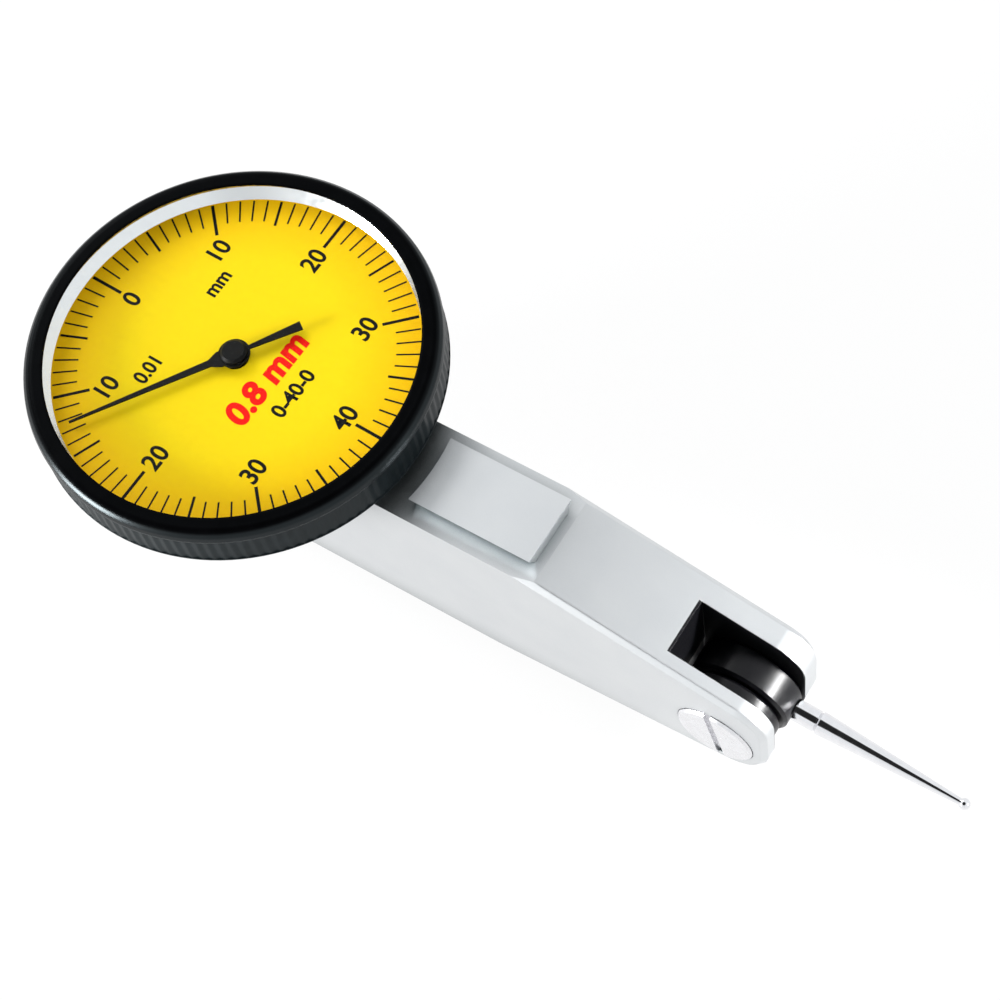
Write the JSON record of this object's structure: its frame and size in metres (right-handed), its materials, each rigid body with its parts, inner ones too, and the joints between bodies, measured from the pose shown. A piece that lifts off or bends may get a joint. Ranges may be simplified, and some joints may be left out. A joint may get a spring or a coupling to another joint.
{
  "type": "dial test indicator",
  "caption": "Lever-type dial test indicator: round dial on a slim dovetailed body, a turning bezel, and a swivelling ball stylus in the forked nose that drives the pointer.",
  "frame": {"origin": "where the dial's axis meets the flat back face of the rear dovetail", "axes": "+X along the body to the stylus, +Z out of the dial, +Y across the body, along the lever's pivot"},
  "size_m": [0.0853, 0.0352, 0.0245],
  "materials": {
    "satin_chrome": "satin",
    "polished_steel": "polished",
    "black_steel": "gloss",
    "black_bezel": "satin",
    "silver_ring": "polished",
    "dial_yellow": "satin",
    "hand_black": "satin",
    "crystal": "clear",
    "gasket": "matte",
    "brass": "satin",
    "blued_steel": "polished",
    "train_steel": "polished",
    "ruby": "polished"
  },
  "bodies": {
    "case": {"housing": "satin_chrome", "pivot_screw_near": "polished_steel", "pivot_screw_far": "polished_steel", "movement_frame": "brass", "movement_screws": "train_steel", "crown_jewels": "ruby", "centre_jewels": "ruby", "hairspring": "blued_steel", "hairspring_stud": "brass", "bezel_snap_ring": "train_steel"},
    "bezel": {"bezel_ring": "black_bezel", "dial_plate": "dial_yellow", "reflector_ring": "silver_ring", "crystal_gasket": "gasket", "crystal": "crystal"},
    "lever": {"lever_axle": "train_steel", "lever_hub": "black_steel", "lever_arm": "train_steel", "sector_gear": "brass", "sector_rivets": "train_steel", "friction_washer": "train_steel", "head_retainer": "black_steel"},
    "head": {"contact_head": "black_steel", "stylus": "polished_steel", "contact_ball": "polished_steel"},
    "crown": {"crown_arbor": "train_steel", "crown_gear": "brass"},
    "centre": {"centre_arbor": "train_steel", "hairspring_collet": "brass", "pointer": "hand_black", "pointer_cap": "hand_black"}
  },
  "joints": [
    {"name": "bezel_turn", "type": "hinge", "parent": "case", "child": "bezel", "pos_m": [0, 0, 0.0225], "axis": [0, 0, 1], "continuous": true},
    {"name": "lever_swing", "type": "hinge", "parent": "case", "child": "lever", "pos_m": [0.0475, 0, 0.0078], "axis": [0, 1, 0], "range_deg": [-1.16, 1.16], "stiffness_Nm_per_rad": 0.4},
    {"name": "head_swivel", "type": "hinge", "parent": "lever", "child": "head", "pos_m": [0.0475, 0, 0.0078], "axis": [0, 1, 0], "range_deg": [-110, 100]},
    {"name": "crown_spin", "type": "hinge", "parent": "case", "child": "crown", "pos_m": [0, 0, 0.0078], "axis": [0, 1, 0], "range_deg": [-45, 45]},
    {"name": "pointer_spin", "type": "hinge", "parent": "case", "child": "centre", "pos_m": [0, 0, 0.0225], "axis": [0, 0, 1], "range_deg": [-180, 180]}
  ],
  "couplings": [
    {"joint": "crown_spin", "follows": "lever_swing", "ratio": -38.75},
    {"joint": "pointer_spin", "follows": "lever_swing", "ratio": 155}
  ]
}
